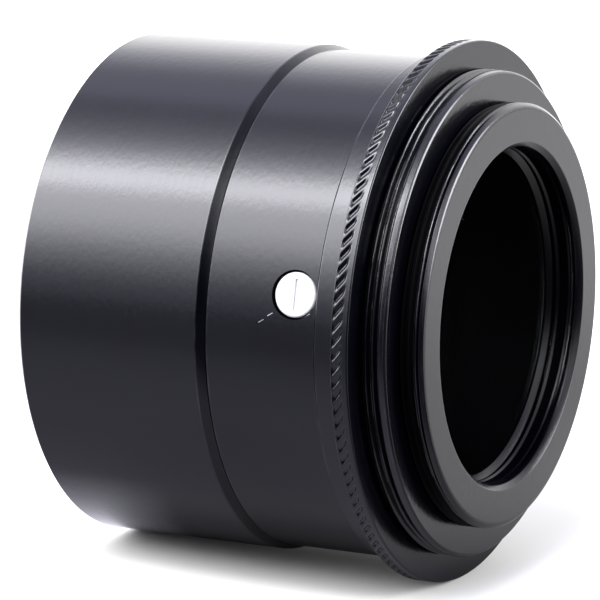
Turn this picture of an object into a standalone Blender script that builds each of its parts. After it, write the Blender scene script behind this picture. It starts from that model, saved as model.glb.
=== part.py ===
"""Two inch photographic Barlow lens with a rotating threaded camera adapter.

The optical axis is world X. The camera end points to +X, the telescope end to -X.
The origin is on the optical axis, halfway along the overall length.
Profiles are (s, r) pairs in millimetres: s is measured from the rear face, r from the axis.
"""
import math

import bmesh
import bpy
from mathutils import Matrix, Vector

MM = 0.001

# Driving dimensions, millimetres.
LENGTH = 41.5
NOSE_R = 25.4
NOSE_END = 19.7
TAPER_R = 24.85
TAPER_END = 20.35
BODY_R = 24.9
BODY_START = 20.65
BODY_END = 32.05
RING_START = 32.35
RING_R = 25.35
FLANGE_START = 34.7
FLANGE_R = 26.8
FLANGE_END = 36.5
KNURL_RIM = 34.85
KNURL_START = 34.97
KNURL_END = 35.7
KNURL_LAND = 35.88
KNURL_SLOTS = 126
KNURL_DEPTH = 0.34
KNURL_HELIX_DEG = 45.0
THREAD_PITCH = 0.75
THREAD_DEPTH = 0.45
M48_R = 24.0
M48_SHOULDER_LAND = 0.06
M48_FIRST_CREST = 36.95
M48_FRONT_LAND = 38.3
M48_END = 39.05
M42_R = 20.95
M42_SHOULDER_LAND = 0.15
M42_FIRST_CREST = 39.95
M42_FRONT_LAND = 41.22
THREAD_CRESTS = 2
EDGE = 0.1
BORE_R = 16.7
BORE_CHAMFER = 0.55
LIP_R = 16.5
LIP_FRONT = 38.85
RELIEF_R = 18.5
SPIGOT_R = 21.7
SPIGOT_START = 27.8
GROOVE_HALF_WIDTH = 1.5
SCREW_S = 29.9
SCREW_R = 2.35
SCREW_TIP = 21.2
SCREW_TOP = 24.72
SCREW_FIRST_ANGLE_DEG = 167.6
SCREW_COUNT = 3
SLOT_WIDTH = 0.5
SLOT_DEPTH = 1.0
GLASS_R = 20.4
GLASS_CLEAR_R = 19.3
CLEARANCE = 0.3

OUTER_SEGMENTS = 64
ADAPTER_SEGMENTS = 63
INNER_SEGMENTS = 48
SCREW_SEGMENTS = 24
LENS_RINGS = 5
SMOOTH_ANGLE_DEG = 25.0


def clear_scene():
    for obj in list(bpy.data.objects):
        bpy.data.objects.remove(obj, do_unlink=True)


def material(name, colour, roughness, metallic, transmission=0.0):
    mat = bpy.data.materials.new(name)
    mat.use_nodes = True
    shader = mat.node_tree.nodes["Principled BSDF"]
    shader.inputs["Base Color"].default_value = (*colour, 1.0)
    shader.inputs["Roughness"].default_value = roughness
    shader.inputs["Metallic"].default_value = metallic
    shader.inputs["Transmission Weight"].default_value = transmission
    return mat


def axial(s):
    """World X in metres of a station s millimetres from the rear face."""
    return (s - LENGTH / 2.0) * MM


def finish(name, bm, mat):
    """Turn a bmesh into a named, smooth shaded object."""
    bmesh.ops.recalc_face_normals(bm, faces=bm.faces[:])
    mesh = bpy.data.meshes.new(name)
    bm.to_mesh(mesh)
    bm.free()
    mesh.shade_smooth()
    mesh.set_sharp_from_angle(angle=math.radians(SMOOTH_ANGLE_DEG))
    mesh.materials.append(mat)
    obj = bpy.data.objects.new(name, mesh)
    bpy.context.scene.collection.objects.link(obj)
    return obj


def spun(profile, segments, closed):
    """Spin an (s, r) profile once round the optical axis."""
    bm = bmesh.new()
    verts = [bm.verts.new((axial(s), 0.0, r * MM)) for s, r in profile]
    edges = [bm.edges.new(pair) for pair in zip(verts[:-1], verts[1:])]
    if closed:
        edges.append(bm.edges.new((verts[-1], verts[0])))
    bmesh.ops.spin(
        bm,
        geom=verts + edges,
        cent=(0.0, 0.0, 0.0),
        axis=(1.0, 0.0, 0.0),
        angle=math.tau,
        steps=segments,
        use_merge=True,
    )
    bmesh.ops.remove_doubles(bm, verts=bm.verts[:], dist=1e-7)
    return bm


def turned(name, profile, segments, mat):
    """A closed ring of revolution."""
    return finish(name, spun(profile, segments, True), mat)


def turned_solid(name, profile, segments, mat):
    """A solid of revolution whose profile starts and ends on the axis."""
    return finish(name, spun(profile, segments, False), mat)


def cut(target, cutter):
    """Subtract a cutter and hide it."""
    cutter.hide_render = True
    cutter.display_type = "WIRE"
    mod = target.modifiers.new("cut_" + cutter.name, "BOOLEAN")
    mod.operation = "DIFFERENCE"
    mod.solver = "EXACT"
    mod.object = cutter


def box(name, centre, size):
    """An axis aligned box, in millimetres with s along the optical axis."""
    bm = bmesh.new()
    bmesh.ops.create_cube(bm, size=1.0)
    bmesh.ops.scale(bm, vec=[v * MM for v in size], verts=bm.verts[:])
    offset = (axial(centre[0]), centre[1] * MM, centre[2] * MM)
    bmesh.ops.translate(bm, vec=offset, verts=bm.verts[:])
    return finish(name, bm, bpy.data.materials["cutter"])


def sagitta(radius, r):
    return radius - math.sqrt(radius * radius - r * r)


def lens_surface(vertex_s, radius, direction):
    """Points of a spherical surface from the axis out to the clear aperture."""
    points = []
    for i in range(LENS_RINGS + 1):
        r = GLASS_CLEAR_R * i / LENS_RINGS
        points.append((vertex_s + direction * sagitta(radius, r), r))
    return points


def thread_crests(start, shoulder_land, first, front_land, end, radius):
    """Roots and crests between a short land at the shoulder and a plain land at the front edge."""
    root = radius - THREAD_DEPTH
    points = [(start, radius), (start + shoulder_land, radius)]
    for i in range(THREAD_CRESTS):
        crest = first + i * THREAD_PITCH
        before = max(crest - THREAD_PITCH / 2.0, start + shoulder_land + EDGE)
        points.append((before, root))
        points.append((crest, radius))
    points.append((crest + 0.45 * THREAD_PITCH, root))
    points += [(front_land, radius), (end - EDGE, radius), (end, radius - EDGE)]
    return points


def ring_at(bm, s, r):
    """Vertices of one turned edge, in order of angle round the axis."""
    found = []
    for vert in bm.verts:
        close_s = abs(vert.co.x - axial(s)) < 1e-6
        close_r = abs(math.hypot(vert.co.y, vert.co.z) - r * MM) < 1e-6
        if close_s and close_r:
            found.append(vert)
    return sorted(found, key=lambda v: math.atan2(v.co.z, v.co.y) % math.tau)


def toothed_ring(bm, s, start, twist):
    """Alternating crest and root vertices of the knurl at one station."""
    ring = []
    count = KNURL_SLOTS * 2
    for i in range(count):
        angle = start + twist + math.tau * i / count
        r = FLANGE_R if i % 2 == 0 else FLANGE_R - KNURL_DEPTH
        ring.append(bm.verts.new((axial(s), r * MM * math.cos(angle), r * MM * math.sin(angle))))
    return ring


def fan(bm, coarse, fine):
    """Join a coarse ring to a fine ring that has four vertices for each of its own."""
    ratio = len(fine) // len(coarse)
    half = ratio // 2
    for i, vert in enumerate(coarse):
        after = coarse[(i + 1) % len(coarse)]
        for j in range(-half, half):
            a = fine[(i * ratio + j) % len(fine)]
            b = fine[(i * ratio + j + 1) % len(fine)]
            bm.faces.new((vert, a, b))
        bm.faces.new((vert, fine[(i * ratio + half) % len(fine)], after))


def nose_barrel(mat):
    """Two inch barrel with the filter thread in its mouth and a spigot for the body."""
    profile = [
        (0.0, 25.0),
        (0.4, NOSE_R),
        (NOSE_END, NOSE_R),
        (TAPER_END, TAPER_R),
        (TAPER_END, 22.9),
        (26.1, 22.9),
        (26.4, 22.6),
        (26.4, 21.3),
        (18.2, 21.3),
        (18.2, 22.9),
        (3.6, 22.9),
        (3.6, 23.7),
        (0.6, 23.7),
        (0.0, 24.2),
    ]
    return turned("nose_barrel", profile, OUTER_SEGMENTS, mat)


def lens_cell(mat):
    """Cup that holds the two glasses against a seat at its camera end."""
    profile = [
        (5.6, 22.3),
        (5.9, 22.6),
        (17.9, 22.6),
        (17.9, 19.4),
        (16.6, 19.4),
        (16.6, 20.7),
        (7.4, 20.7),
        (7.4, 21.3),
        (5.6, 21.3),
    ]
    return turned("lens_cell", profile, INNER_SEGMENTS, mat)


def spanner_ring(name, start, end, outer_r, inner_r, slot_side, mat):
    """Threaded ring with two spanner slots across one face."""
    profile = [
        (start, outer_r - 0.2),
        (start + 0.2, outer_r),
        (end - 0.2, outer_r),
        (end, outer_r - 0.2),
        (end, inner_r),
        (start, inner_r),
    ]
    ring = turned(name, profile, INNER_SEGMENTS, mat)
    face = start if slot_side < 0 else end
    cutter = box(name + "_slot_cutter", (face, 0.0, 0.0), (1.2, 2.0, 60.0))
    cut(ring, cutter)
    return ring


def glass_elements(mat):
    """Air spaced negative pair: a biconcave element and a meniscus."""
    rear_rim, front_rim = 7.4, 12.7
    rear_radius, middle_radius, front_radius = 150.0, 95.0, 130.0
    rear_sag = sagitta(rear_radius, GLASS_CLEAR_R)
    middle_sag = sagitta(middle_radius, GLASS_CLEAR_R)
    profile = lens_surface(rear_rim + rear_sag, rear_radius, -1.0)
    profile += [(rear_rim, GLASS_R - 0.2), (rear_rim + 0.2, GLASS_R)]
    profile += [(front_rim - 0.2, GLASS_R), (front_rim, GLASS_R - 0.2)]
    profile += reversed(lens_surface(front_rim - middle_sag, middle_radius, 1.0))
    biconcave = turned_solid("biconcave_element", profile, INNER_SEGMENTS, mat)

    rear_rim, front_rim = 13.9, 16.3
    front_sag = sagitta(front_radius, GLASS_CLEAR_R)
    profile = lens_surface(rear_rim - middle_sag, middle_radius, 1.0)
    profile += [(rear_rim, GLASS_R - 0.2), (rear_rim + 0.2, GLASS_R)]
    profile += [(front_rim - 0.2, GLASS_R), (front_rim, GLASS_R - 0.2)]
    profile += reversed(lens_surface(front_rim - front_sag, front_radius, 1.0))
    meniscus = turned_solid("meniscus_element", profile, INNER_SEGMENTS, mat)
    return biconcave, meniscus


def element_spacer(mat):
    """Thin ring between the rims of the two glasses."""
    profile = [
        (13.0, GLASS_CLEAR_R + 0.1),
        (13.0, GLASS_R),
        (13.6, GLASS_R),
        (13.6, GLASS_CLEAR_R + 0.1),
    ]
    return turned("element_spacer", profile, INNER_SEGMENTS, mat)


def screw_angles():
    return [math.radians(SCREW_FIRST_ANGLE_DEG + 360.0 * i / SCREW_COUNT) for i in range(SCREW_COUNT)]


def radial_frame(angle):
    """Matrix whose local Z points outward at an angle round the optical axis."""
    outward = Vector((0.0, math.cos(angle), math.sin(angle)))
    along = Vector((1.0, 0.0, 0.0))
    across = outward.cross(along)
    rotation = Matrix((along, across, outward)).transposed()
    return Matrix.Translation((axial(SCREW_S), 0.0, 0.0)) @ rotation.to_4x4()


def main_body(mat):
    """Middle tube: threaded onto the nose, with a plain socket for the adapter."""
    profile = [
        (BODY_START, BODY_R - 0.15),
        (BODY_START + 0.15, BODY_R),
        (BODY_END - 0.12, BODY_R),
        (BODY_END, BODY_R - 0.12),
        (BODY_END, 22.3),
        (BODY_END - 0.3, 22.0),
        (27.5, 22.0),
        (27.5, 19.5),
        (26.7, 19.5),
        (26.7, 23.2),
        (BODY_START, 23.2),
    ]
    body = turned("main_body", profile, OUTER_SEGMENTS, mat)
    for i, angle in enumerate(screw_angles()):
        bm = bmesh.new()
        hole_r = (SCREW_R + CLEARANCE) * MM
        bmesh.ops.create_cone(
            bm,
            cap_ends=True,
            segments=SCREW_SEGMENTS,
            radius1=hole_r,
            radius2=hole_r,
            depth=8.0 * MM,
        )
        bmesh.ops.translate(bm, vec=(0.0, 0.0, 23.5 * MM), verts=bm.verts[:])
        bmesh.ops.transform(bm, matrix=radial_frame(angle), verts=bm.verts[:])
        cut(body, finish("hole_cutter_%d" % (i + 1), bm, bpy.data.materials["cutter"]))
    return body


def clamp_screws(mat):
    """Slotted nylon grub screws whose cone points stand in the adapter's groove."""
    bm = bmesh.new()
    tip_r = 0.6
    cone_top = SCREW_TIP + SCREW_R - tip_r
    profile = [
        (SCREW_TIP, 0.0),
        (SCREW_TIP, tip_r),
        (cone_top, SCREW_R),
        (SCREW_TOP - 0.2, SCREW_R),
        (SCREW_TOP, SCREW_R - 0.2),
        (SCREW_TOP, 0.0),
    ]
    verts = [bm.verts.new((r * MM, 0.0, h * MM)) for h, r in profile]
    edges = [bm.edges.new(pair) for pair in zip(verts[:-1], verts[1:])]
    bmesh.ops.spin(
        bm,
        geom=verts + edges,
        cent=(0.0, 0.0, 0.0),
        axis=(0.0, 0.0, 1.0),
        angle=math.tau,
        steps=SCREW_SEGMENTS,
        use_merge=True,
    )
    bmesh.ops.remove_doubles(bm, verts=bm.verts[:], dist=1e-7)
    first = finish("clamp_screw_1", bm, mat)
    screws = []
    for i, angle in enumerate(screw_angles()):
        screw = first
        if i > 0:
            screw = bpy.data.objects.new("clamp_screw_%d" % (i + 1), first.data)
            bpy.context.scene.collection.objects.link(screw)
        screw.matrix_world = radial_frame(angle)
        bm = bmesh.new()
        bmesh.ops.create_cube(bm, size=1.0)
        size = (SLOT_WIDTH * MM, 8.0 * MM, 2.0 * SLOT_DEPTH * MM)
        bmesh.ops.scale(bm, vec=size, verts=bm.verts[:])
        bmesh.ops.translate(bm, vec=(0.0, 0.0, SCREW_TOP * MM), verts=bm.verts[:])
        bmesh.ops.transform(bm, matrix=radial_frame(angle), verts=bm.verts[:])
        cut(screw, finish("slot_cutter_%d" % (i + 1), bm, bpy.data.materials["cutter"]))
        screws.append(screw)
    return screws


def camera_adapter(mat):
    """Rotating adapter: spigot, knurled flange, M48 step, M42 step and stepped bore."""
    profile = [
        (KNURL_RIM, FLANGE_R),
        (FLANGE_START, FLANGE_R - 0.12),
        (FLANGE_START, RING_R),
        (RING_START + 0.2, RING_R),
        (RING_START, RING_R - 0.2),
        (RING_START, SPIGOT_R),
        (SCREW_S + GROOVE_HALF_WIDTH, SPIGOT_R),
        (SCREW_S, SPIGOT_R - GROOVE_HALF_WIDTH),
        (SCREW_S - GROOVE_HALF_WIDTH, SPIGOT_R),
        (SPIGOT_START + 0.3, SPIGOT_R),
        (SPIGOT_START, SPIGOT_R - 0.3),
        (SPIGOT_START, RELIEF_R),
        (38.65, RELIEF_R),
        (38.65, LIP_R),
        (LIP_FRONT, LIP_R),
        (LIP_FRONT + BORE_R - LIP_R, BORE_R),
        (LENGTH - BORE_CHAMFER, BORE_R),
        (LENGTH, BORE_R + BORE_CHAMFER),
    ]
    m42 = thread_crests(M48_END, M42_SHOULDER_LAND, M42_FIRST_CREST, M42_FRONT_LAND, LENGTH, M42_R)
    m48 = thread_crests(FLANGE_END, M48_SHOULDER_LAND, M48_FIRST_CREST, M48_FRONT_LAND, M48_END, M48_R)
    profile += reversed(m42)
    profile += reversed(m48)
    profile += [
        (FLANGE_END, FLANGE_R - 0.2),
        (FLANGE_END - 0.2, FLANGE_R),
        (KNURL_LAND, FLANGE_R),
    ]
    bm = spun(profile, ADAPTER_SEGMENTS, False)
    rear = ring_at(bm, *profile[0])
    land = ring_at(bm, *profile[-1])
    start = math.atan2(rear[0].co.z, rear[0].co.y)
    lead = -(KNURL_END - KNURL_START) * math.tan(math.radians(KNURL_HELIX_DEG)) / FLANGE_R
    teeth_rear = toothed_ring(bm, KNURL_START, start, 0.0)
    teeth_front = toothed_ring(bm, KNURL_END, start, lead)
    count = len(teeth_rear)
    for i in range(count):
        j = (i + 1) % count
        bm.faces.new((teeth_rear[i], teeth_rear[j], teeth_front[j], teeth_front[i]))
    shift = round(-lead / (math.tau / count))
    fan(bm, rear, teeth_rear)
    fan(bm, land, teeth_front[shift:] + teeth_front[:shift])
    return finish("camera_adapter", bm, mat)


def adapter_baffle_ring(mat):
    """Ring screwed into the adapter from behind; its rim is the stop seen down the bore."""
    profile = [
        (36.6, 18.0),
        (36.8, 18.2),
        (38.35, 18.2),
        (38.35, 16.63),
        (37.85, 16.13),
        (37.6, 16.13),
        (36.6, 17.2),
    ]
    ring = turned("adapter_baffle_ring", profile, INNER_SEGMENTS, mat)
    cut(ring, box("baffle_slot_cutter", (36.6, 0.0, 0.0), (1.0, 2.0, 60.0)))
    return ring


def build():
    clear_scene()
    material("cutter", (0.5, 0.5, 0.5), 0.5, 0.0)
    anodised = material("black_anodised_aluminium", (0.02, 0.02, 0.023), 0.32, 0.6)
    matt_black = material("matt_black_aluminium", (0.012, 0.012, 0.013), 0.6, 0.2)
    glass = material("coated_glass", (0.85, 0.93, 0.9), 0.02, 0.0, 0.95)
    nylon = material("white_nylon", (0.86, 0.86, 0.84), 0.45, 0.0)
    nose_barrel(anodised)
    spanner_ring("cell_lock_ring", 4.0, 5.3, 22.6, 20.6, -1, matt_black)
    lens_cell(matt_black)
    spanner_ring("lens_retaining_ring", 5.9, 7.1, 21.0, 19.2, -1, matt_black)
    glass_elements(glass)
    element_spacer(matt_black)
    main_body(anodised)
    clamp_screws(nylon)
    camera_adapter(anodised)
    adapter_baffle_ring(matt_black)


build()
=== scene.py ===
import math

import bmesh
import bpy
import numpy as np
from mathutils import Matrix, Vector


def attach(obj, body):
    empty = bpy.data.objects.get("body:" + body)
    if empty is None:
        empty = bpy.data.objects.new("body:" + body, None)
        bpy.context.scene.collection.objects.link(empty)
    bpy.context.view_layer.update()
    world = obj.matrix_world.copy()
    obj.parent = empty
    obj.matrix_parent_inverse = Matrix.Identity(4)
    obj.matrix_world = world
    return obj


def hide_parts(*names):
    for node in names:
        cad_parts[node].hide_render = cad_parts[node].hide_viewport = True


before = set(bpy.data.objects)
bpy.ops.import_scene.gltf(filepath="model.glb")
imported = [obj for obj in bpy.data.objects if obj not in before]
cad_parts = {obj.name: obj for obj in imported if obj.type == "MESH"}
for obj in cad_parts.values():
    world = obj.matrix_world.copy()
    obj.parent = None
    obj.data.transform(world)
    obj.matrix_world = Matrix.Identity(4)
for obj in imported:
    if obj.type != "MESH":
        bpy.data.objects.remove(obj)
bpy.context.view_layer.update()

MM = 0.001

# ---------------------------------------------------------------------------
# Sizes in millimetres: s runs along the optical axis from the telescope end,
# and r outward from the axis.
# ---------------------------------------------------------------------------
LENGTH = 41.5
NOSE_R = 25.4
NOSE_WALL_END = 19.74
NOSE_END = 20.5
NOSE_BORE_R = 22.9
BODY_START = 20.53
BODY_R = 24.9
BODY_END = 32.15
BODY_SOCKET_R = 22.0
RING_START = 32.27
RING_R = 25.35
SPIGOT_R = 21.7
FLANGE_START = 34.7
FLANGE_FACE = 36.5
FLANGE_R = 26.8
FLANGE_REST = 35.3
M48_R = 24.0
M48_FACE = 39.05
M42_R = 20.95
BORE_R = 16.7
LIP_R = 16.5
RELIEF_R = 18.5
CELL_R = 22.6
GLASS_R = 20.4
GLASS_CLEAR_R = 19.3

THREAD_PITCH = 0.75
BAFFLE_THREAD_PITCH = 0.6
CREST_FLAT = 0.12
ROWS_PER_PITCH = 20

KNURL_START = 34.86
KNURL_END = 36.0
KNURL_CUTS = 126
KNURL_DEPTH = 0.22
KNURL_LEAN = 1.25
KNURL_ROWS = 16

SCREW_S = 29.77
SCREW_TOP = 24.72
SCREW_R = 2.18
SCREW_HOLE_R = 2.36
SCREW_SLOT = (0.22, 3.0, 0.5)
SCREW_ANGLES = [math.radians(167.6 + 120.0 * i) for i in range(3)]

SEG = 288
INNER_SEG = 192
SCREW_SEG = 96


def axial(s):
    return (s - LENGTH / 2.0) * MM


# ---------------------------------------------------------------------------
# Profiles
# ---------------------------------------------------------------------------
def smoothstep(a, b, x):
    t = np.clip((np.asarray(x, float) - a) / (b - a), 0.0, 1.0)
    return t * t * (3 - 2 * t)


def soften(profile, radius=0.08, steps=3, closed=True):
    """Round every corner of an (s, r) profile with a small curve."""
    out = []
    count = len(profile)
    for i, point in enumerate(profile):
        if not closed and i in (0, count - 1):
            out.append(point)
            continue
        corner = Vector(point)
        before = Vector(profile[(i - 1) % count]) - corner
        after = Vector(profile[(i + 1) % count]) - corner
        reach = min(radius, 0.42 * before.length, 0.42 * after.length)
        a = corner + before.normalized() * reach
        b = corner + after.normalized() * reach
        for k in range(steps + 1):
            t = k / steps
            q = a * (1 - t) ** 2 + corner * (2 * t * (1 - t)) + b * t ** 2
            out.append((q.x, q.y))
    return out


def helix(start, end, crest_at, pitch):
    """Yield s and the height round the axis of a single start thread: 0 at its root, 1 at its crest."""
    turn = np.arange(SEG) / SEG - SCREW_ANGLES[0] / math.tau
    count = max(2, int(round((end - start) / pitch * ROWS_PER_PITCH)))
    for i in range(count + 1):
        s = start + (end - start) * i / count
        phase = ((s - crest_at) / pitch - turn) % 1.0
        flank = (np.abs(phase - 0.5) * 2.0 - CREST_FLAT) / (1.0 - 2.0 * CREST_FLAT)
        yield s, np.clip(flank, 0.0, 1.0)


def male_thread(start, end, major, depth, crest_at, fade_out=0.18):
    """Rows of a thread that rises out of its undercut and ends at full diameter."""
    rows = []
    for s, height in helix(start, end, crest_at, THREAD_PITCH):
        cut = 1.0 - height * smoothstep(start, start + 0.06, s)
        rows.append((s, major - depth * cut * smoothstep(end, end - fade_out, s)))
    return rows


def female_thread(start, end, minor, depth, crest_at, fade, pitch=THREAD_PITCH):
    """Rows of a thread cut into a bore, which runs out at both ends."""
    rows = []
    for s, height in helix(start, end, crest_at, pitch):
        cut = (1.0 - height) * smoothstep(start, start + fade, s)
        rows.append((s, minor + depth * cut * smoothstep(end, end - fade, s)))
    return rows


# ---------------------------------------------------------------------------
# Meshes
# ---------------------------------------------------------------------------
def link_object(name, mesh):
    obj = bpy.data.objects.new(name, mesh)
    bpy.context.scene.collection.objects.link(obj)
    return obj


def closed_mesh(name, verts, faces):
    """Mesh whose faces all look outward."""
    mesh = bpy.data.meshes.new(name)
    mesh.from_pydata(verts, [], faces)
    bm = bmesh.new()
    bm.from_mesh(mesh)
    bmesh.ops.recalc_face_normals(bm, faces=bm.faces[:])
    bm.to_mesh(mesh)
    bm.free()
    return mesh


def smooth(mesh, sharp=40.0):
    mesh.shade_smooth()
    mesh.set_sharp_from_angle(angle=math.radians(sharp))


def turned(rows, segments, closed):
    """Points (s, r cos, r sin) of each row, the faces between the rows and each row's first point.

    The r of a row may be an array of radii round the axis. A plain r of 0 is a pole.
    """
    theta = np.arange(segments) * math.tau / segments
    points, first, pole = [], [], []
    for s, r in rows:
        first.append(len(points))
        pole.append(np.ndim(r) == 0 and r <= 0.0)
        if pole[-1]:
            points.append((s, 0.0, 0.0))
            continue
        ring = np.broadcast_to(np.asarray(r, float), (segments,))
        points.extend(zip([s] * segments, (ring * np.cos(theta)).tolist(), (ring * np.sin(theta)).tolist()))
    pairs = [(i, i + 1) for i in range(len(rows) - 1)]
    if closed:
        pairs.append((len(rows) - 1, 0))
    faces = []
    for a, b in pairs:
        for j in range(segments):
            k = (j + 1) % segments
            if pole[a]:
                faces.append((first[a], first[b] + k, first[b] + j))
            elif pole[b]:
                faces.append((first[a] + j, first[a] + k, first[b]))
            else:
                faces.append((first[a] + j, first[a] + k, first[b] + k, first[b] + j))
    return points, faces, first


def revolve(name, rows, segments=SEG, closed=True, sharp=40.0, creases=()):
    """Object turned about the optical axis. The rows named in creases become sharp rings."""
    points, faces, first = turned(rows, segments, closed)
    mesh = closed_mesh(name, [(axial(s), y * MM, z * MM) for s, y, z in points], faces)
    smooth(mesh, sharp)
    starts = [first[i] for i in creases]
    if starts:
        for edge in mesh.edges:
            low, high = sorted(edge.vertices)
            if any(start <= low and high < start + segments for start in starts):
                edge.use_edge_sharp = True
    return link_object(name, mesh)


def weighted(obj):
    mod = obj.modifiers.new("face_weighted_normals", "WEIGHTED_NORMAL")
    mod.keep_sharp = True
    mod.weight = 80
    return obj


def object_from(name, bm):
    mesh = bpy.data.meshes.new(name)
    bm.to_mesh(mesh)
    bm.free()
    return link_object(name, mesh)


def box(name, size, centre):
    """Box with its size and centre in millimetres."""
    bm = bmesh.new()
    bmesh.ops.create_cube(bm, size=1.0)
    bmesh.ops.scale(bm, vec=Vector(size) * MM, verts=bm.verts[:])
    bmesh.ops.translate(bm, vec=Vector(centre) * MM, verts=bm.verts[:])
    return object_from(name, bm)


def subtract(obj, cutter):
    mod = obj.modifiers.new("cut", "BOOLEAN")
    mod.operation = "DIFFERENCE"
    mod.solver = "EXACT"
    mod.object = cutter


def apply_modifiers(obj, cutters):
    """Apply every modifier of obj to its own mesh and delete the cutters it used."""
    graph = bpy.context.evaluated_depsgraph_get()
    mesh = bpy.data.meshes.new_from_object(obj.evaluated_get(graph))
    old = obj.data
    obj.modifiers.clear()
    obj.data = mesh
    bpy.data.meshes.remove(old)
    for cutter in cutters:
        bpy.data.objects.remove(cutter, do_unlink=True)
    smooth(mesh)


def true_cylinder_normals(obj, radius, low, high):
    """Give the outer wall between low and high the exact normals of a cylinder, also round its holes."""
    mesh = obj.data
    normals = [tuple(c.vector) for c in mesh.corner_normals]
    for poly in mesh.polygons:
        c = poly.center
        radial = math.hypot(c.y, c.z)
        outward = (poly.normal.y * c.y + poly.normal.z * c.z) / max(radial, 1e-9)
        if radial > (radius - 0.05) * MM and outward > 0.999 and axial(low) < c.x < axial(high):
            for index in poly.loop_indices:
                v = mesh.vertices[mesh.loops[index].vertex_index].co
                h = math.hypot(v.y, v.z)
                normals[index] = (0.0, v.y / h, v.z / h)
    mesh.normals_split_custom_set(normals)


def radial_frame(angle):
    """Frame of a clamp screw: its z points outward from the optical axis and its x along that axis."""
    outward = Vector((0.0, math.cos(angle), math.sin(angle)))
    along = Vector((1.0, 0.0, 0.0))
    rotation = Matrix((along, outward.cross(along), outward)).transposed()
    return Matrix.Translation((axial(SCREW_S), 0.0, 0.0)) @ rotation.to_4x4()


def dress(obj, *mats):
    for mat in mats:
        obj.data.materials.append(mat)
    return obj


def paint(obj, slot_at):
    """Choose the material slot of each face from the s and r of its centre."""
    for poly in obj.data.polygons:
        c = poly.center
        poly.material_index = slot_at(c.x / MM + LENGTH / 2.0, math.hypot(c.y, c.z) / MM)


def adopt(obj, body, slot, *nodes):
    """Let obj move with a body and stand in for the CAD nodes named."""
    if nodes:
        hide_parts(*nodes)
    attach(obj, body)


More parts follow.
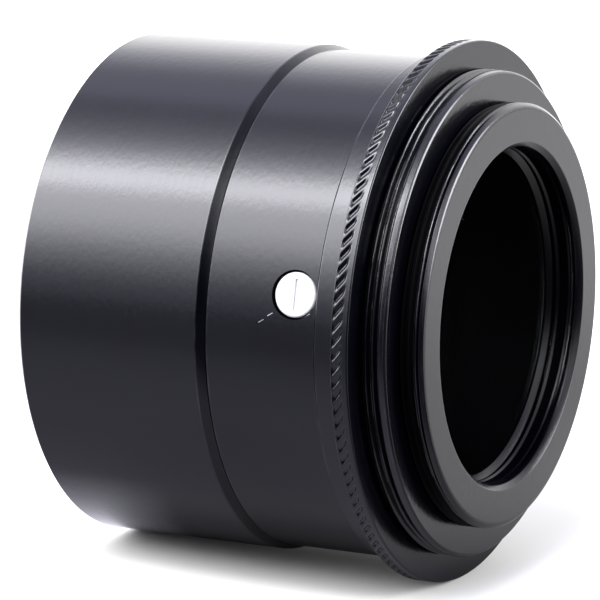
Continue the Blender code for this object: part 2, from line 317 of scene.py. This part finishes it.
# ---------------------------------------------------------------------------
# Shader graphs
# ---------------------------------------------------------------------------
class Nodes:
    """Small helper to write shader graphs in a few lines."""

    def __init__(self, tree):
        self.tree = tree
        self.tree.nodes.clear()

    def new(self, kind, **values):
        node = self.tree.nodes.new(kind)
        for key, value in values.items():
            setattr(node, key, value)
        return node

    def link(self, source, target):
        self.tree.links.new(source, target)

    def put(self, value, socket):
        if hasattr(value, "is_output"):
            self.link(value, socket)
        else:
            socket.default_value = value

    def math(self, operation, *values, clamp=False):
        node = self.new("ShaderNodeMath", operation=operation, use_clamp=clamp)
        for value, socket in zip(values, node.inputs):
            self.put(value, socket)
        return node.outputs[0]

    def add(self, first, *others):
        total = first
        for value in others:
            total = self.math("ADD", total, value)
        return total

    def times(self, a, b, clamp=False):
        return self.math("MULTIPLY", a, b, clamp=clamp)

    def length(self, a, b):
        return self.math("SQRT", self.add(self.times(a, a), self.times(b, b)))

    def combine(self, x, y, z):
        node = self.new("ShaderNodeCombineXYZ")
        for value, socket in zip((x, y, z), node.inputs):
            self.put(value, socket)
        return node.outputs[0]

    def separate(self, vector):
        node = self.new("ShaderNodeSeparateXYZ")
        self.link(vector, node.inputs[0])
        return node.outputs

    def coordinates(self, kind):
        return self.new("ShaderNodeTexCoord").outputs[kind]

    def noise(self, vector, scale, detail=2.0, rough=0.5):
        node = self.new("ShaderNodeTexNoise")
        self.link(vector, node.inputs["Vector"])
        node.inputs["Scale"].default_value = scale
        node.inputs["Detail"].default_value = detail
        node.inputs["Roughness"].default_value = rough
        return node.outputs["Fac"]

    def remap(self, value, a, b, c, d):
        """Map a to c and b to d, held beyond both ends."""
        node = self.new("ShaderNodeMapRange")
        self.put(value, node.inputs["Value"])
        for key, number in zip(("From Min", "From Max", "To Min", "To Max"), (a, b, c, d)):
            node.inputs[key].default_value = number
        return node.outputs[0]

    def mix(self, factor, a, b):
        node = self.new("ShaderNodeMix", data_type="RGBA")
        self.put(factor, node.inputs[0])
        self.put(a, node.inputs[6])
        self.put(b, node.inputs[7])
        return node.outputs[2]

    def curve(self, value, table, top):
        """Smooth curve through (degrees, height) points over a whole turn. The value runs from 0 to 1."""
        ramp = self.new("ShaderNodeFloatCurve")
        points = [((degrees + 180.0) / 360.0, height / top) for degrees, height in table]
        curve = ramp.mapping.curves[0]
        curve.points[0].location = points[0]
        curve.points[1].location = points[-1]
        for point in points[1:-1]:
            curve.points.new(*point)
        for point in curve.points:
            point.handle_type = "AUTO_CLAMPED"
        ramp.mapping.update()
        self.link(value, ramp.inputs["Value"])
        return self.times(ramp.outputs[0], top)

    def aim(self, vector, direction):
        """Cosine of the angle between a vector and a fixed direction."""
        node = self.new("ShaderNodeVectorMath", operation="DOT_PRODUCT")
        self.link(vector, node.inputs[0])
        node.inputs[1].default_value = direction
        return node.outputs["Value"]

    def thin_mark(self, u, v, u0, v0, u1, v1, width):
        """Mask of a thin straight mark on the unrolled cylinder, from (u0, v0) to (u1, v1)."""
        length = math.hypot(u1 - u0, v1 - v0)
        du, dv = (u1 - u0) / length, (v1 - v0) / length
        pu = self.math("SUBTRACT", u, u0)
        pv = self.math("SUBTRACT", v, v0)
        along = self.add(self.times(pu, du), self.times(pv, dv))
        across = self.math("SUBTRACT", self.times(pu, dv), self.times(pv, du))
        beyond = self.math("MAXIMUM", self.math("SUBTRACT", 0.0, along), self.math("SUBTRACT", along, length))
        far = self.add(self.math("ABSOLUTE", across), self.math("MAXIMUM", beyond, 0.0))
        return self.remap(far, 0.3 * width, width, 1.0, 0.0)

    def principled(self):
        shader = self.new("ShaderNodeBsdfPrincipled")
        out = self.new("ShaderNodeOutputMaterial")
        self.link(shader.outputs[0], out.inputs[0])
        return shader

    def bump(self, shader, height, strength, distance):
        node = self.new("ShaderNodeBump")
        node.inputs["Strength"].default_value = strength
        node.inputs["Distance"].default_value = distance
        self.link(height, node.inputs["Height"])
        self.link(node.outputs[0], shader.inputs["Normal"])

    def by_ray(self, seen, mirrored, out):
        """Show one shader to the eye and the other to every reflection."""
        path = self.new("ShaderNodeLightPath")
        choose = self.new("ShaderNodeMixShader")
        self.link(path.outputs["Is Camera Ray"], choose.inputs[0])
        self.link(mirrored.outputs[0], choose.inputs[1])
        self.link(seen.outputs[0], choose.inputs[2])
        self.link(choose.outputs[0], out.inputs[0])

    def cylinder(self):
        """Object coordinates in millimetres: x from mid length, radius, angle, then raw y and z."""
        x, y, z = (self.times(o, 1000.0) for o in self.separate(self.coordinates("Object")))
        return x, self.length(y, z), self.math("ARCTAN2", z, y), y, z


def new_material(name):
    mat = bpy.data.materials.new(name)
    mat.use_nodes = True
    return mat, Nodes(mat.node_tree)


# ---------------------------------------------------------------------------
# Materials
# ---------------------------------------------------------------------------
DYE = (0.0008, 0.0009, 0.0026)
BARE_EDGE = (0.03, 0.03, 0.034, 1.0)
# Bare metal for scratches, also used for a painted glint.
BARE_SCRATCH_AND_GLINT = (0.45, 0.45, 0.47, 1.0)


def anodised(name, roughness=0.17, edges=(), ior=1.7, scratches_and_glints=()):
    """Black anodised aluminium with turning marks and cloudy dye.

    Edges are (s, r) corners rubbed through to bare metal. Scratches and glints are (s, degrees, s, degrees,
    width): thin marks laid on as bare metal, where a glint is a painted highlight.
    """
    mat, n = new_material(name)
    x, r, angle, y, z = n.cylinder()
    turned_marks = n.combine(x, r, n.times(angle, 0.35))
    lines = n.noise(turned_marks, 9.0, 3.0, 0.6)
    fine = n.noise(turned_marks, 42.0, 1.0)
    solid = n.combine(x, y, z)
    cloud = n.noise(solid, 0.16, 3.0)
    grain = n.noise(solid, 7.0, 2.0)
    mottle = n.noise(n.combine(x, n.times(angle, 14.0), r), 2.2, 3.0, 0.6)
    patch = n.noise(n.combine(n.times(x, 0.3), n.times(angle, 9.0), r), 1.0, 3.0)
    thin_dye = (*[c * 1.2 for c in DYE], 1.0)
    deep_dye = (*[c * 0.85 for c in DYE], 1.0)
    base = n.mix(n.remap(cloud, 0.35, 0.65, 0.0, 1.0), deep_dye, thin_dye)
    for s, radius in edges:
        far = n.length(n.math("SUBTRACT", x, s - LENGTH / 2.0), n.math("SUBTRACT", r, radius))
        worn = n.remap(patch, 0.42, 0.68, 0.0, 0.8)
        rub = n.times(n.remap(far, 0.03, 0.11, 1.0, 0.0), worn, clamp=True)
        base = n.mix(rub, base, BARE_EDGE)
    for s0, turn0, s1, turn1, width in scratches_and_glints:
        start = (s0 - LENGTH / 2.0, math.radians(turn0) * BODY_R)
        end = (s1 - LENGTH / 2.0, math.radians(turn1) * BODY_R)
        mark = n.thin_mark(x, n.times(angle, BODY_R), *start, *end, width)
        # Lay each mark on as bare metal: scratches, and glints that are painted highlights.
        base = n.mix(mark, base, BARE_SCRATCH_AND_GLINT)
    shader = n.principled()
    n.link(base, shader.inputs["Base Color"])
    along_lines = n.remap(lines, 0.3, 0.7, roughness - 0.03, roughness + 0.03)
    n.link(n.add(along_lines, n.remap(grain, 0.3, 0.7, -0.012, 0.012)), shader.inputs["Roughness"])
    shader.inputs["IOR"].default_value = ior
    height = n.add(n.times(lines, 0.17), n.times(fine, 0.06))
    height = n.add(height, n.add(n.times(grain, 0.15), n.times(mottle, 1.7)))
    n.bump(shader, height, 0.5, 0.000016)
    return mat


def matt_black(name):
    """Dull black paint over a turned surface, also laid on the roots of the adapter's threads as painted
    shade.
    """
    mat, n = new_material(name)
    x, r, angle, y, z = n.cylinder()
    lines = n.noise(n.combine(x, r, n.times(angle, 0.4)), 8.0, 3.0)
    grain = n.noise(n.combine(x, y, z), 14.0, 2.0)
    streaks = n.remap(lines, 0.35, 0.65, 0.0, 1.0)
    tint = n.mix(streaks, (0.0003, 0.0003, 0.0006, 1), (0.0007, 0.0008, 0.0016, 1))
    shader = n.principled()
    n.link(tint, shader.inputs["Base Color"])
    n.link(n.remap(grain, 0.3, 0.7, 0.5, 0.6), shader.inputs["Roughness"])
    shader.inputs["IOR"].default_value = 1.18
    n.bump(shader, n.add(lines, grain), 0.6, 0.000008)
    return mat


def white_nylon(name):
    """Moulded nylon that lets a little light in."""
    mat, n = new_material(name)
    scaled = n.new("ShaderNodeVectorMath", operation="SCALE")
    n.link(n.coordinates("Object"), scaled.inputs[0])
    scaled.inputs["Scale"].default_value = 1000.0
    cloud = n.noise(scaled.outputs[0], 0.8, 3.0)
    grain = n.noise(scaled.outputs[0], 18.0, 2.0)
    shader = n.principled()
    n.link(n.mix(cloud, (0.78, 0.78, 0.775, 1), (0.84, 0.84, 0.835, 1)), shader.inputs["Base Color"])
    n.link(n.remap(grain, 0.3, 0.7, 0.38, 0.5), shader.inputs["Roughness"])
    shader.inputs["Subsurface Weight"].default_value = 0.2
    shader.inputs["Subsurface Radius"].default_value = (1.0, 0.95, 0.9)
    shader.inputs["Subsurface Scale"].default_value = 0.0008
    n.bump(shader, grain, 0.4, 0.00001)
    return mat


def coated_glass(name):
    """Clear coated glass whose ground rim is painted black."""
    mat, n = new_material(name)
    x, r, angle, y, z = n.cylinder()
    dust = n.noise(n.combine(x, y, z), 5.0, 4.0)
    rim = n.remap(r, 19.2, 19.5, 0.0, 1.0)
    shader = n.principled()
    n.link(n.mix(rim, (0.97, 0.99, 0.98, 1), (0.004, 0.004, 0.004, 1)), shader.inputs["Base Color"])
    n.link(n.remap(dust, 0.55, 0.8, 0.0, 0.006), shader.inputs["Roughness"])
    n.link(n.remap(r, 19.2, 19.4, 1.0, 0.0), shader.inputs["Transmission Weight"])
    shader.inputs["IOR"].default_value = 1.52
    shader.inputs["Specular IOR Level"].default_value = 0.12
    shader.inputs["Specular Tint"].default_value = (0.78, 0.86, 1.0, 1)
    return mat


# Two tool-slip scratches beside the first clamp screw. The third mark, along the rim of its hole, is a
# painted glint, a highlight laid on as bare metal.
BODY_SCRATCHES_AND_GLINT = [(27.13, 172.7, 27.64, 172.0, 0.06),
                  (26.21, 174.3, 26.73, 173.6, 0.04),
                  (30.88, 172.3, 31.56, 171.4, 0.05)]
NOSE_BLACK = anodised("black_anodised_nose", edges=[(0.42, NOSE_R), (19.68, 25.38)])
BODY_BLACK = anodised("black_anodised_body", edges=[(20.7, 24.88), (32.06, 24.88)], ior=1.66,
                      scratches_and_glints=BODY_SCRATCHES_AND_GLINT)
ADAPTER_BLACK = anodised("black_anodised_adapter", edges=[(32.42, 25.33), (38.8, 23.93), (41.35, 20.82)])
RIM_BLACK = anodised("black_anodised_rim", edges=[(34.76, 26.76), (36.4, 26.75)])
# Painted shade: a darker copy of the anodised finish, with a lower IOR, for the taper at the end of the nose
# in the groove before the body.
TAPER_SHADE = anodised("black_anodised_taper_painted_shade", ior=1.5)
# Painted shade: a darker copy of the anodised finish, with a lower IOR, for the flange face.
FLANGE_FACE_SHADE = anodised("black_anodised_flange_face_painted_shade", ior=1.54)
# Painted shade: a duller, darker copy of the anodised finish for the bore and the baffle ring in it.
BORE_SHADE = anodised("black_anodised_bore_painted_shade", roughness=0.24, ior=1.38)
MATT_PAINT_AND_SHADE = matt_black("matt_black_inside_and_painted_shade")
NYLON = white_nylon("white_nylon_moulded")
GLASS = coated_glass("coated_optical_glass")


# ---------------------------------------------------------------------------
# Outer parts
# ---------------------------------------------------------------------------
def nose_barrel():
    outer = soften([(0.0, 24.95), (0.42, NOSE_R), (19.62, NOSE_R), (NOSE_WALL_END, 25.35), (NOSE_END, 24.85),
                    (NOSE_END, NOSE_BORE_R), (26.1, NOSE_BORE_R), (26.4, 22.6), (26.4, 21.3), (18.2, 21.3),
                    (18.2, NOSE_BORE_R), (3.6, NOSE_BORE_R), (3.6, 23.95)], 0.05, closed=False)
    thread = female_thread(0.5, 3.5, 23.6, 0.40, 0.9, fade=0.3)
    mouth = [(0.32, 24.0), (0.04, 24.28), (0.0, 24.34)]
    obj = dress(revolve("nose_barrel_fine", outer + thread[::-1] + mouth), NOSE_BLACK, MATT_PAINT_AND_SHADE, TAPER_SHADE)

    def slot_for(s, r):
        if s > 3.7 and r < 23.2:
            return 1
        # Painted shade: the taper at the end of the nose takes the darker copy of the anodised finish.
        if 19.76 < s < NOSE_END and r > 24.8:
            return 2
        return 0

    paint(obj, slot_for)
    adopt(weighted(obj), "barrel", "black_anodised_aluminium", "nose_barrel")


def screw_hole(name, angle):
    """Cutter for the tapped hole of one clamp screw."""
    bm = bmesh.new()
    bmesh.ops.create_cone(bm, cap_ends=True, segments=SCREW_SEG, radius1=SCREW_HOLE_R * MM,
                          radius2=SCREW_HOLE_R * MM, depth=8 * MM)
    bmesh.ops.translate(bm, vec=(0, 0, 23.5 * MM), verts=bm.verts[:])
    bmesh.ops.transform(bm, matrix=radial_frame(angle), verts=bm.verts[:])
    return object_from(name, bm)


def main_body():
    obj = revolve("main_body_fine", soften(
        [(BODY_START, 24.83), (20.6, BODY_R), (32.08, BODY_R), (BODY_END, 24.83), (BODY_END, 22.3),
         (31.85, BODY_SOCKET_R), (27.5, BODY_SOCKET_R), (27.5, 19.5), (26.7, 19.5), (26.7, 23.2),
         (BODY_START, 23.2)], 0.03))
    cutters = [screw_hole("tapping_%d" % k, angle) for k, angle in enumerate(SCREW_ANGLES)]
    for cutter in cutters:
        subtract(obj, cutter)
    apply_modifiers(obj, cutters)
    true_cylinder_normals(obj, BODY_R, 20.62, 32.05)
    dress(obj, BODY_BLACK, MATT_PAINT_AND_SHADE)
    paint(obj, lambda s, r: int(r < 24.0 and 20.8 < s < 31.9))
    adopt(obj, "barrel", "black_anodised_aluminium", "main_body")


def camera_adapter():
    """Spigot with its vee groove, band, flange face, M48 and M42 threads and stepped bore."""
    rear = soften([(FLANGE_START, 25.9), (FLANGE_START, RING_R), (32.42, RING_R), (RING_START, 25.2),
                   (RING_START, SPIGOT_R), (31.4, SPIGOT_R), (29.9, 20.2), (28.4, SPIGOT_R), (28.1, SPIGOT_R),
                   (27.8, 21.4), (27.8, RELIEF_R), (38.65, RELIEF_R), (38.65, LIP_R), (38.85, LIP_R),
                   (39.05, BORE_R), (39.9, BORE_R)], 0.05, closed=False)
    inside = female_thread(39.92, 40.62, BORE_R, 0.06, 40.3, fade=0.1, pitch=BAFFLE_THREAD_PITCH)
    mouth = [(40.64, BORE_R), (41.02, BORE_R), (41.06, 16.73), (41.49, 17.16), (LENGTH, 17.18)]
    mouth += soften([(LENGTH, 17.3), (LENGTH, 20.36), (41.43, 20.64), (41.2, 20.88)], 0.1, steps=5,
                    closed=False)
    mouth += [(41.1, M42_R)]
    m42 = male_thread(39.12, 41.08, M42_R, 0.44, 39.95, fade_out=0.08)
    step = soften([(39.1, 20.51), (M48_FACE, 20.51), (M48_FACE, 23.68), (38.92, 23.88), (38.5, M48_R)], 0.06,
                  steps=4, closed=False)
    m48 = male_thread(36.53, 38.40, M48_R, 0.46, 36.95)
    face = soften([(36.52, 23.54), (FLANGE_FACE, 23.54), (FLANGE_FACE, 26.68), (36.4, FLANGE_R),
                   (36.04, FLANGE_R)], 0.06, steps=5, closed=False)
    rows, creases = [], []
    for section in (rear, inside, mouth, m42[::-1], step, m48[::-1], face):
        creases += [len(rows), len(rows) + len(section) - 1]
        rows += section
    obj = revolve("camera_adapter_fine", rows, closed=False, creases=creases[1:-1])
    dress(obj, ADAPTER_BLACK, MATT_PAINT_AND_SHADE, BORE_SHADE, FLANGE_FACE_SHADE)

    def slot_for(s, r):
        # Painted shade: the roots of the M42 and M48 threads take the dull black of slot 1, where there is
        # only shade.
        m42_root_shade = 39.08 < s < 40.32 and r > 20.0
        m48_root_shade = 36.52 < s < 36.8
        if s < 38.6 and r < 19.0:
            return 1
        # Painted shade: the bore and its chamfer take the duller, darker copy of the anodised finish.
        if r < 17.16:
            return 2
        if m42_root_shade or m48_root_shade:
            return 1
        # Painted shade: the flange face takes the darker copy of the anodised finish.
        if 36.46 < s < 36.52 and r > 23.5:
            return 3
        return 0

    paint(obj, slot_for)
    adopt(weighted(obj), "adapter", "black_anodised_aluminium", "camera_adapter")


def knurled_rim():
    """Rim of the flange, with slanted cuts that fade out at both ends."""
    segments = KNURL_CUTS * 16
    around = np.arange(segments) / segments
    rows = [(FLANGE_START, 25.9), (FLANGE_START, 26.62), (34.72, 26.70), (34.77, 26.77), (34.83, FLANGE_R)]
    for i in range(KNURL_ROWS + 1):
        s = KNURL_START + (KNURL_END - KNURL_START) * i / KNURL_ROWS
        phase = ((around + KNURL_LEAN * s / (math.tau * FLANGE_R)) * KNURL_CUTS) % 1.0
        vee = smoothstep(0.0, 1.0, 1.0 - np.abs(phase - 0.5) * 2.0 / 0.9)
        ends = smoothstep(KNURL_START, 35.02, s) * smoothstep(KNURL_END, 35.6, s)
        rows.append((s, FLANGE_R - KNURL_DEPTH * vee * ends))
    rows.append((36.04, FLANGE_R))
    obj = revolve("knurled_rim_fine", rows, segments=segments, closed=False, sharp=55.0)
    adopt(dress(obj, RIM_BLACK), "adapter", "black_anodised_aluminium")


def clamp_screw(number, angle):
    """Nylon grub screw with a cone point and a shallow slot."""
    name = "clamp_screw_%d_fine" % number
    profile = soften([(SCREW_TOP, 0.0), (SCREW_TOP, 2.02), (24.58, 2.16), (23.0, SCREW_R), (21.2, 0.6),
                      (21.2, 0.0)], 0.12, steps=4, closed=False)
    points, faces, _ = turned(profile, SCREW_SEG, closed=False)
    obj = link_object(name, closed_mesh(name, [(x * MM, y * MM, h * MM) for h, x, y in points], faces))
    cutter = box(name + "_slot", SCREW_SLOT, (0.0, 0.0, SCREW_TOP))
    subtract(obj, cutter)
    soft = obj.modifiers.new("soft_edges", "BEVEL")
    soft.width = 0.04 * MM
    soft.segments = 2
    soft.limit_method = "ANGLE"
    soft.angle_limit = math.radians(50)
    apply_modifiers(obj, [cutter])
    obj.matrix_world = radial_frame(angle)
    adopt(dress(obj, NYLON), "clamp_%d" % number, "white_nylon", "clamp_screw_%d" % number)


# ---------------------------------------------------------------------------
# Rings, cell and glass inside
# ---------------------------------------------------------------------------
def plain_ring(node, profile, radius, mat, body):
    """Turned ring in matt black aluminium with its corners rounded to the radius."""
    obj = revolve(node + "_fine", soften(profile, radius), segments=INNER_SEG)
    adopt(weighted(dress(obj, mat)), body, "matt_black_aluminium", node)


def slotted_ring(node, start, end, outer_r, inner_r):
    """Threaded ring with a spanner slot across its rear face."""
    name = node + "_fine"
    obj = revolve(name, soften([(start, outer_r - 0.2), (start + 0.2, outer_r), (end - 0.2, outer_r),
                                (end, outer_r - 0.2), (end, inner_r), (start, inner_r)], 0.06),
                  segments=INNER_SEG)
    cutter = box(name + "_slots", (1.2, 2.0, 60.0), (start - LENGTH / 2.0, 0.0, 0.0))
    subtract(obj, cutter)
    apply_modifiers(obj, [cutter])
    adopt(weighted(dress(obj, MATT_PAINT_AND_SHADE)), "barrel", "matt_black_aluminium", node)


def sag(radius, r=GLASS_CLEAR_R):
    """Depth of a spherical face of the given radius at r."""
    return radius - math.sqrt(radius * radius - r * r)


def lens(node, rear_rim, front_rim, rear_face, front_face):
    """Glass between two spherical faces, each (vertex s, radius, side).

    The side is +1 where the rim of the face lies nearer the camera end than its vertex, and -1 where it
    lies nearer the telescope end.
    """
    def cap(vertex, radius, side):
        heights = [GLASS_CLEAR_R * i / 20 for i in range(21)]
        return [(vertex + side * sag(radius, r), r) for r in heights]

    rows = cap(*rear_face)
    rows += [(rear_rim, GLASS_R - 0.2), (rear_rim + 0.2, GLASS_R)]
    rows += [(front_rim - 0.2, GLASS_R), (front_rim, GLASS_R - 0.2)]
    rows += cap(*front_face)[::-1]
    obj = revolve(node + "_fine", rows, segments=INNER_SEG, closed=False, sharp=20.0)
    adopt(dress(obj, GLASS), "barrel", "coated_glass", node)


nose_barrel()
main_body()
camera_adapter()
knurled_rim()
# The baffle ring in the bore takes the painted-shade copy of the anodised finish.
plain_ring("adapter_baffle_ring", [(36.6, 18.0), (36.8, 18.2), (38.42, 18.2), (38.42, 16.67), (37.88, 16.13),
                                   (37.6, 16.13), (36.6, 17.2)], 0.04, BORE_SHADE, "adapter")
for number, angle in enumerate(SCREW_ANGLES, 1):
    clamp_screw(number, angle)
plain_ring("lens_cell", [(5.6, 22.3), (5.9, CELL_R), (17.9, CELL_R), (17.9, 19.4), (16.6, 19.4), (16.6, 20.7),
                         (7.4, 20.7), (7.4, 21.3), (5.6, 21.3)], 0.06, MATT_PAINT_AND_SHADE, "barrel")
slotted_ring("cell_lock_ring", 4.0, 5.3, CELL_R, 20.6)
slotted_ring("lens_retaining_ring", 5.9, 7.1, 21.0, 19.2)
plain_ring("element_spacer", [(13.0, 19.4), (13.0, GLASS_R), (13.6, GLASS_R), (13.6, 19.4)], 0.05, MATT_PAINT_AND_SHADE,
           "barrel")
lens("biconcave_element", 7.4, 12.7, (7.4 + sag(150.0), 150.0, -1), (12.7 - sag(95.0), 95.0, 1))
lens("meniscus_element", 13.9, 16.3, (13.9 - sag(95.0), 95.0, 1), (16.3 - sag(130.0), 130.0, 1))


# ---------------------------------------------------------------------------
# Floor
# ---------------------------------------------------------------------------
def studio_floor():
    """White paper under the rims of the nose and the flange, on which the part lies. Its colour holds painted
    light: full white right of the flange, and a tone seen only in reflections that changes with place.
    """
    bm = bmesh.new()
    bmesh.ops.create_grid(bm, x_segments=2, y_segments=2, size=3.0)
    floor = object_from("studio_floor", bm)
    contact = Vector((axial(FLANGE_REST), 0.0, -FLANGE_R * MM))
    floor.rotation_euler = (0.0, math.atan2(FLANGE_R - NOSE_R, FLANGE_REST), 0.0)
    floor.location = contact

    mat, n = new_material("studio_paper_with_painted_light")
    place = n.coordinates("Object")
    x, y, z = n.separate(place)
    along = n.add(x, contact.x)
    sheet = n.mix(n.noise(place, 40.0, 3.0), (0.89, 0.89, 0.82, 1), (0.91, 0.91, 0.84, 1))
    # Painted light: right of the flange the paper is lifted to full white, which clears the part's shadow
    # there.
    sheet = n.mix(n.remap(along, 0.016, 0.026, 0.0, 1.0), sheet, (1.0, 1.0, 1.0, 1))
    seen = n.new("ShaderNodeBsdfDiffuse")
    n.link(sheet, seen.inputs["Color"])

    # Painted light in reflections: what the metal sees of the paper is painted brightest beside the nose and
    # behind the part, bluer on the near side, and fading toward the eye.
    front = n.times(n.remap(y, -0.12, -0.04, 0.095, 0.195), n.remap(along, 0.02, 0.05, 1.0, 0.2))
    rear_end = n.times(n.remap(along, -0.0185, -0.012, 1.0, 0.0), n.remap(y, -0.020, -0.008, 0.0, 0.72))
    depth = n.add(n.remap(y, -0.005, 0.03, 0.0, 0.29), n.remap(y, 0.09, 0.18, 0.0, 0.16))
    painted_light_tone = n.add(front, rear_end, depth)
    blue = n.remap(y, -0.025, 0.02, 1.08, 0.92)
    mirrored = n.new("ShaderNodeBsdfDiffuse")
    n.link(n.combine(painted_light_tone, n.times(painted_light_tone, 0.985), n.times(painted_light_tone, blue)), mirrored.inputs["Color"])
    n.by_ray(seen, mirrored, n.new("ShaderNodeOutputMaterial"))
    floor.data.materials.append(mat)


# ---------------------------------------------------------------------------
# Light. ROOM and STRIP give brightness against the height of a direction, in
# degrees from the near side over the top to the far side. ROOM is the broad
# light of the room and STRIP the long soft light above the near side.
# ---------------------------------------------------------------------------
ROOM = [(-180, 0.5), (-60, 0.45), (-35, 0.38), (-20, 0.2), (-11, 0.14), (-4, 0.28), (4, 0.40), (12, 0.45),
        (24, 0.55), (60, 0.62), (72, 0.75), (84, 0.74), (96, 0.66), (108, 1.0), (120, 0.88), (132, 1.26),
        (144, 1.84), (156, 2.3), (168, 2.1), (180, 1.75)]
STRIP = [(-180, 0.0), (0, 0.02), (6, 0.12), (12, 0.34), (18, 0.9), (24, 1.6), (30, 2.9), (36, 4.0), (42, 4.7),
         (48, 4.9), (53, 6.6), (58, 9.6), (63, 7.8), (67, 4.8), (72, 2.4), (78, 1.1), (84, 0.5), (96, 0.05),
         (108, 0.0), (180, 0.0)]
BRIGHTEST = 10.0
SMALL_LIGHT = Vector((0.83, -0.18, 0.52)).normalized()
RIGHT_LIGHT = Vector((0.82, 0.50, 0.28)).normalized()
DARK_CORNER = Vector((0.4476, -0.8733, 0.1923))
# For red, green and blue: the cool part of the room, its neutral far side, and the lights.
CHANNELS = [(0.94, 1.0, 0.99), (0.945, 0.995, 0.985), (1.20, 1.015, 1.05)]


def studio_light():
    world = bpy.data.worlds.new("studio")
    bpy.context.scene.world = world
    world.use_nodes = True
    n = Nodes(world.node_tree)
    direction = n.coordinates("Generated")
    x, y, z = n.separate(direction)
    sweep = n.math("ARCTAN2", z, n.times(y, -1.0))
    height = n.remap(sweep, -math.pi, math.pi, 0.0, 1.0)
    # The strip is full over the nose, brightest past the telescope end, and ends above the flange.
    strip = n.times(n.curve(height, STRIP, BRIGHTEST), n.remap(x, -0.12, 0.30, 1.0, 0.08))
    strip = n.times(strip, n.remap(x, -0.38, -0.22, 1.0, 1.6))
    small = n.remap(n.aim(direction, SMALL_LIGHT), 0.90, 0.98, 0.0, 1.3)
    right = n.remap(n.aim(direction, RIGHT_LIGHT), 0.92, 0.985, 0.0, BRIGHTEST)
    lights = n.add(strip, small, right)
    # The room is darker beyond the camera end of the part, most of all low down on the near side.
    low_down = n.remap(sweep, math.radians(50), math.radians(100), 0.85, 0.3)
    dim = n.times(n.remap(x, 0.0, 0.42, 0.0, 1.0), low_down)
    room = n.times(n.curve(height, ROOM, BRIGHTEST), n.math("SUBTRACT", 1.0, dim))
    shade = n.remap(n.aim(direction, DARK_CORNER), 0.88, 0.98, 1.0, 0.04)
    warm = n.remap(sweep, math.radians(115), math.radians(155), 0.0, 1.0)
    channels = []
    for cool, neutral, lamp in CHANNELS:
        tint = n.add(n.times(warm, neutral - cool), cool)
        channels.append(n.times(n.add(n.times(room, tint), n.times(lights, lamp)), shade))
    studio = n.new("ShaderNodeBackground")
    n.link(n.combine(*channels), studio.inputs["Color"])
    white = n.new("ShaderNodeBackground")
    white.inputs["Color"].default_value = (1.0, 1.0, 1.0, 1)
    n.by_ray(white, studio, n.new("ShaderNodeOutputWorld"))


# ---------------------------------------------------------------------------
# Camera
# ---------------------------------------------------------------------------
AZIMUTH = math.radians(27.13)
ELEVATION = math.radians(11.085)
DISTANCE = 0.40137
AIM_RIGHT = 0.00252
AIM_UP = 0.0002


def studio_camera():
    back = Vector((math.sin(AZIMUTH) * math.cos(ELEVATION), -math.cos(AZIMUTH) * math.cos(ELEVATION),
                   math.sin(ELEVATION)))
    right = Vector((math.cos(AZIMUTH), math.sin(AZIMUTH), 0.0))
    up = back.cross(right)
    data = bpy.data.cameras.new("camera")
    data.lens = 240.0
    data.sensor_width = 36.0
    data.clip_start = 0.01
    camera = link_object("camera", data)
    spot = back * DISTANCE - right * AIM_RIGHT - up * AIM_UP
    camera.matrix_world = Matrix.Translation(spot) @ Matrix((right, up, back)).transposed().to_4x4()
    bpy.context.scene.camera = camera
    bpy.context.scene.view_settings.view_transform = "Standard"
    bpy.context.scene.view_settings.look = "None"


studio_floor()
studio_light()
studio_camera()
